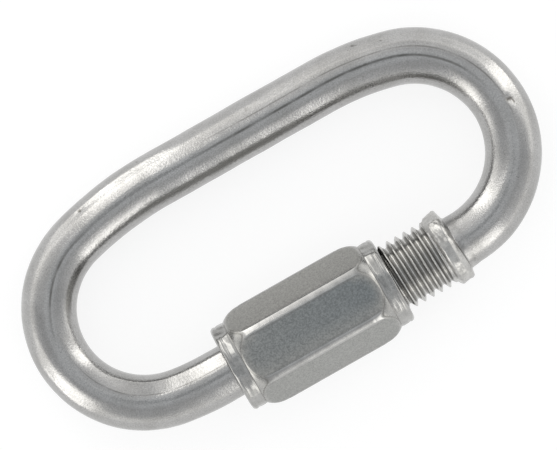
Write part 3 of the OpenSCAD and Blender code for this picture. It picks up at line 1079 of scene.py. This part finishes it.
# Soft boxes round the light tent: direction about the vertical in degrees from +X, half width in
# degrees where it is full and where it ends, then the height (1 is straight up) where it begins,
# is full, is full for the last time and ends, and last how much light it adds.
SOFT_BOXES = (
    (-167.0, 9.0, 14.0, -0.3, -0.2, 0.40, 0.74, 1.6),
    (-165.0, 12.0, 55.0, -0.3, -0.2, 0.30, 0.85, 0.3),
    (-77.5, 7.5, 12.5, 0.02, 0.14, 0.46, 0.76, 1.5),
    (-72.0, 12.0, 52.0, 0.02, 0.14, 0.40, 0.92, 0.3),
    (16.5, 5.5, 9.5, -0.3, -0.2, 0.36, 0.78, 1.6),
    (24.0, 14.0, 44.0, -0.3, -0.2, 0.50, 0.97, 0.38),
    (107.0, 15.0, 38.0, -0.3, -0.2, 0.42, 0.97, 0.70),
    (172.0, 8.0, 20.0, -0.3, -0.2, 0.12, 0.34, 0.5),
    (-9.0, 8.0, 20.0, -0.3, -0.2, 0.16, 0.50, 0.4),
    (132.0, 8.0, 18.0, -0.3, -0.2, 0.10, 0.30, 0.25),
    (68.0, 10.0, 28.0, 0.20, 0.50, 0.65, 0.85, 0.28),
    (88.0, 10.0, 28.0, 0.62, 0.80, 0.96, 0.998, 0.13),
)


def soft_box(nodes, way, height, box):
    """Light that one soft box adds in each direction."""
    about, full, ends, low, low_full, high_full, high, strength = box
    turn = math.radians(about)
    toward, across = (nodes.add("ShaderNodeVectorMath", operation="DOT_PRODUCT") for _ in range(2))
    nodes.link(way, toward.inputs[0])
    nodes.link(way, across.inputs[0])
    toward.inputs[1].default_value = (math.cos(turn), math.sin(turn), 0.0)
    across.inputs[1].default_value = (-math.sin(turn), math.cos(turn), 0.0)
    front = nodes.maths("MAXIMUM", toward.outputs["Value"], 0.001)
    aside = nodes.maths("DIVIDE", nodes.maths("ABSOLUTE", across.outputs["Value"], 0.0), front)
    full_at, ends_at = math.tan(math.radians(full)), math.tan(math.radians(ends))
    wide = nodes.map(aside, full_at, ends_at, strength, 0.0)
    rising = nodes.map(height, low, low_full, 0.0, 1.0)
    falling = nodes.map(height, high_full, high, 1.0, 0.0)
    return nodes.maths("MULTIPLY", wide, nodes.maths("MULTIPLY", rising, falling))


# Heights where the tones of the tent lie: 0 is the horizon and 1 is straight up.
HORIZON_AT, LENS_AT = 0.03, 0.997
TONES_BETWEEN = (
    ("skirt", 0.16), ("middle", 0.38), ("middle", 0.80), ("crown", 0.94), ("crown", 0.985)
)


def light_tent(stage):
    """World of a white tent: dim where the lens looks in, bright at the floor, with soft boxes."""
    world = bpy.data.worlds.new("light_tent")
    nodes = Nodes(world)
    way = nodes.add("ShaderNodeTexCoord").outputs["Generated"]
    height = nodes.add("ShaderNodeSeparateXYZ", Vector=way).outputs["Z"]
    ramp = nodes.add("ShaderNodeValToRGB")
    nodes.link(height, ramp.inputs["Fac"])
    points = ramp.color_ramp.elements
    points[0].position, points[0].color = HORIZON_AT, rgba(stage.horizon)
    points[1].position, points[1].color = LENS_AT, rgba(stage.lens)
    for tone, position in TONES_BETWEEN:
        points.new(position).color = rgba(getattr(stage, tone))
    total = None
    for box in SOFT_BOXES:
        light = soft_box(nodes, way, height, box)
        total = light if total is None else nodes.maths("ADD", total, light)
    lamps = nodes.add("ShaderNodeVectorMath", operation="SCALE", Scale=total)
    lamps.inputs[0].default_value = stage.lamps
    lit = nodes.add("ShaderNodeVectorMath", operation="ADD")
    nodes.link(ramp.outputs["Color"], lit.inputs[0])
    nodes.link(lamps.outputs["Vector"], lit.inputs[1])
    tent = nodes.add("ShaderNodeBackground", Strength=1.0)
    nodes.link(lit.outputs["Vector"], tent.inputs["Color"])
    nodes.link(tent.outputs["Background"], nodes.add("ShaderNodeOutputWorld").inputs["Surface"])
    return world


# Small soft box close behind the spine: its middle, width and height in millimetres, and how bright
# its face is.
NEAR_BOX = ((-18.5, 80.0, 77.0), 22.0, 146.0, 1.45)


def near_soft_box(stage):
    """Upright area lamp that faces the link and isn't seen itself."""
    middle, width, height, bright = NEAR_BOX
    lamp = bpy.data.lights.new("near_soft_box", "AREA")
    lamp.shape = "RECTANGLE"
    lamp.size, lamp.size_y = width * MM, height * MM
    lamp.energy = bright * math.pi * lamp.size * lamp.size_y
    lamp.color = stage.lamps
    held = bpy.data.objects.new("near_soft_box", lamp)
    held.location = Vector(middle) * MM
    held.rotation_euler = (math.radians(-90.0), 0.0, 0.0)
    held.visible_camera = False
    bpy.context.scene.collection.objects.link(held)


# Point that the camera looks at, half the width of the floor in metres, and the width of the
# camera's sensor in millimetres.
VIEW_CENTRE = Vector((0.02 * MM, 1.26 * MM, 4.0 * MM))
FLOOR_REACH = 2.0
SENSOR_WIDTH = 36.0


def make_stage(settings):
    """Floor, light tent and the camera that looks straight down."""
    stage = settings.stage
    scene = bpy.context.scene
    mesh = bpy.data.meshes.new("floor")
    far = FLOOR_REACH
    corners = [(-far, -far, 0.0), (far, -far, 0.0), (far, far, 0.0), (-far, far, 0.0)]
    mesh.from_pydata(corners, [], [(0, 1, 2, 3)])
    mesh.materials.append(floor_paper(stage))
    floor = bpy.data.objects.new("floor", mesh)
    scene.collection.objects.link(floor)
    scene.world = light_tent(stage)
    near_soft_box(stage)
    lens = bpy.data.cameras.new("camera")
    lens.sensor_width = SENSOR_WIDTH
    lens.lens = SENSOR_WIDTH * stage.camera_height / stage.picture_span
    lens.clip_start, lens.clip_end = 0.01, 10.0
    camera = bpy.data.objects.new("camera", lens)
    camera.location = VIEW_CENTRE + Vector((0.0, 0.0, stage.camera_height))
    camera.rotation_euler = (0.0, 0.0, stage.picture_turn)
    scene.collection.objects.link(camera)
    scene.camera = camera
    scene.view_settings.view_transform = "Standard"


# The add-on


class QUICKLINK_OT_link_body(bpy.types.Operator):
    """Bend the rod with its threaded ends and its collar"""

    bl_idname = "quick_link.link_body"
    bl_label = "Link body"

    def execute(self, context):
        make_link_body(context.scene.quick_link)
        return {"FINISHED"}


class QUICKLINK_OT_sleeve_nut(bpy.types.Operator):
    """Turn the sleeve nut with its hexagon, collars and bore"""

    bl_idname = "quick_link.sleeve_nut"
    bl_label = "Sleeve nut"

    def execute(self, context):
        make_sleeve_nut(context.scene.quick_link)
        return {"FINISHED"}


class QUICKLINK_OT_stage(bpy.types.Operator):
    """Lay the floor and set up the light tent and the camera"""

    bl_idname = "quick_link.stage"
    bl_label = "Stage"

    def execute(self, context):
        make_stage(context.scene.quick_link)
        return {"FINISHED"}


class VIEW3D_PT_quick_link(bpy.types.Panel):
    """Lists the pieces of the quick link and what can be changed on them"""

    bl_idname = "VIEW3D_PT_quick_link"
    bl_label = "Quick Link"
    bl_space_type = "VIEW_3D"
    bl_region_type = "UI"
    bl_category = "Quick Link"

    def draw(self, context):
        layout = self.layout
        settings = context.scene.quick_link
        for operator, group in (
            ("quick_link.link_body", settings.rod),
            ("quick_link.sleeve_nut", settings.nut),
            ("quick_link.stage", settings.stage),
        ):
            box = layout.box()
            box.operator(operator)
            for name in group.__annotations__:
                box.prop(group, name)
        box = layout.box()
        box.label(text="Finish")
        for name in settings.finish.__annotations__:
            box.prop(settings.finish, name)


CLASSES = (
    QuickLinkRodSizes,
    QuickLinkNutSizes,
    QuickLinkFinish,
    QuickLinkStage,
    QuickLinkSettings,
    QUICKLINK_OT_link_body,
    QUICKLINK_OT_sleeve_nut,
    QUICKLINK_OT_stage,
    VIEW3D_PT_quick_link,
)


def register():
    for cls in CLASSES:
        bpy.utils.register_class(cls)
    bpy.types.Scene.quick_link = PointerProperty(type=QuickLinkSettings)


def unregister():
    del bpy.types.Scene.quick_link
    for cls in reversed(CLASSES):
        bpy.utils.unregister_class(cls)


def main():
    register()
    bpy.ops.quick_link.stage()
    bpy.ops.quick_link.link_body()
    bpy.ops.quick_link.sleeve_nut()


if __name__ == "__main__":
    main()
